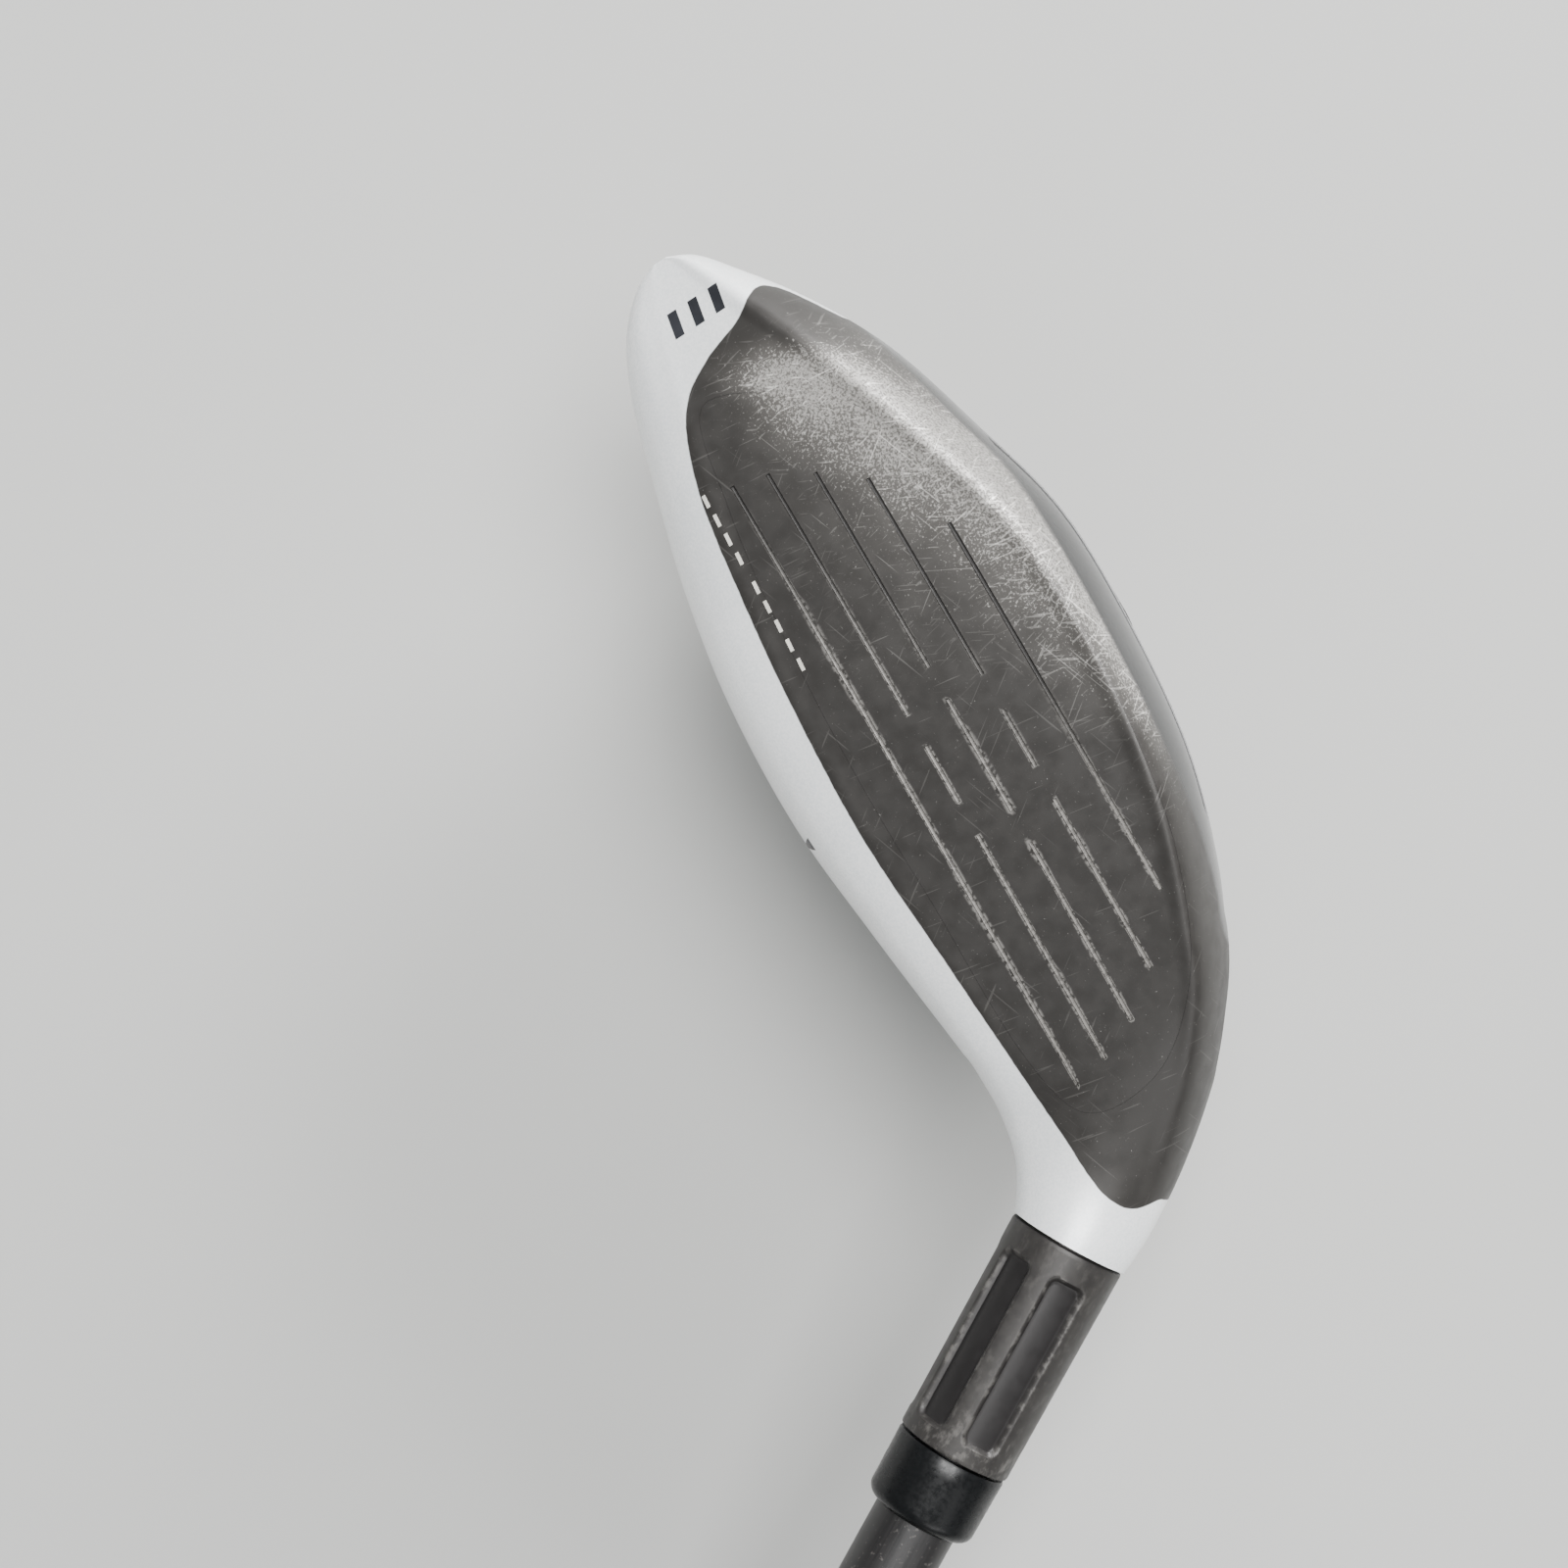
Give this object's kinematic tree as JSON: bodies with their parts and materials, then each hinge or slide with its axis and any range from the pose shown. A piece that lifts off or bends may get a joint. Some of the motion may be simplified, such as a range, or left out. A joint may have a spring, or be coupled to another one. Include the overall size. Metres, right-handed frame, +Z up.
{
  "type": "hybrid golf club",
  "caption": "Left-handed adjustable hybrid golf club: hollow head with grooved face and sliding sole weight, bolted loft sleeve, tapered graphite shaft and rubber grip.",
  "frame": {"origin": "middle of the whole club's box seen from above, at the surface that it lies on", "axes": "+Z up, with the club's face looking up; -X runs from the head along the shaft to the grip; +Y points from the sole towards the crown and toe"},
  "size_m": [1.059, 0.1038, 0.0644],
  "materials": {
    "silver_paint": "satin silver-white metallic paint",
    "charcoal_face": "satin charcoal coating, scratched",
    "gloss_black": "gloss black",
    "grey_anodised": "dark grey anodised, worn",
    "black_abs": "satin moulded",
    "bright_steel": "machined steel",
    "graphite_lacquer": "satin lacquered graphite",
    "grip_rubber": "textured rubber",
    "slot_polymer": "moulded polymer",
    "tape_paper": "crepe paper tape"
  },
  "bodies": {
    "head": {"head_body": "silver_paint", "crown_plate": "silver_paint", "face_plate": "charcoal_face", "sole_slot_filler": "slot_polymer", "sole_pad": "gloss_black", "bolt_retainer": "slot_polymer"},
    "shaft_unit": {"loft_sleeve": "grey_anodised", "ferrule": "black_abs", "shaft": "graphite_lacquer", "shaft_tip_plug": "slot_polymer", "grip_tape": "tape_paper", "grip": "grip_rubber", "grip_cap": "grip_rubber"},
    "washer": {"bolt_washer": "bright_steel"},
    "bolt": {"hosel_bolt": "bright_steel"},
    "weight": {"sliding_weight": "bright_steel"},
    "clamp_screw": {"weight_screw": "bright_steel"},
    "clamp_nut": {"weight_nut": "bright_steel"}
  },
  "joints": [
    {"name": "sleeve_pull", "type": "slide", "parent": "head", "child": "shaft_unit", "axis": [-0.9995, 0, -0.0323], "range_m": [0, 0.04]},
    {"name": "bolt_travel", "type": "slide", "parent": "head", "child": "washer", "axis": [0.9995, 0, 0.0323], "range_m": [0, 0.008]},
    {"name": "bolt_turn", "type": "hinge", "parent": "washer", "child": "bolt", "pos_m": [0.47636, -0.03847, 0.04555], "axis": [0.9995, 0, 0.0323], "range_deg": [0, 3600]},
    {"name": "weight_slide", "type": "hinge", "parent": "head", "child": "weight", "pos_m": [0.43049, 0.04019, 0.04071], "axis": [-0.1022, 0.0806, -0.9915], "range_deg": [-7.2, 7.2]},
    {"name": "weight_screw_turn", "type": "hinge", "parent": "weight", "child": "clamp_screw", "pos_m": [0.51357, -0.00946, 0.02812], "axis": [0.8512, -0.5087, -0.129], "range_deg": [0, 540]},
    {"name": "weight_nut_travel", "type": "slide", "parent": "weight", "child": "clamp_nut", "axis": [-0.8512, 0.5087, 0.129], "range_m": [0, 0.00105]}
  ],
  "couplings": [
    {"joint": "bolt_turn", "follows": "bolt_travel", "rad_per_m": 7854},
    {"joint": "weight_screw_turn", "follows": "weight_nut_travel", "rad_per_m": 8976}
  ]
}
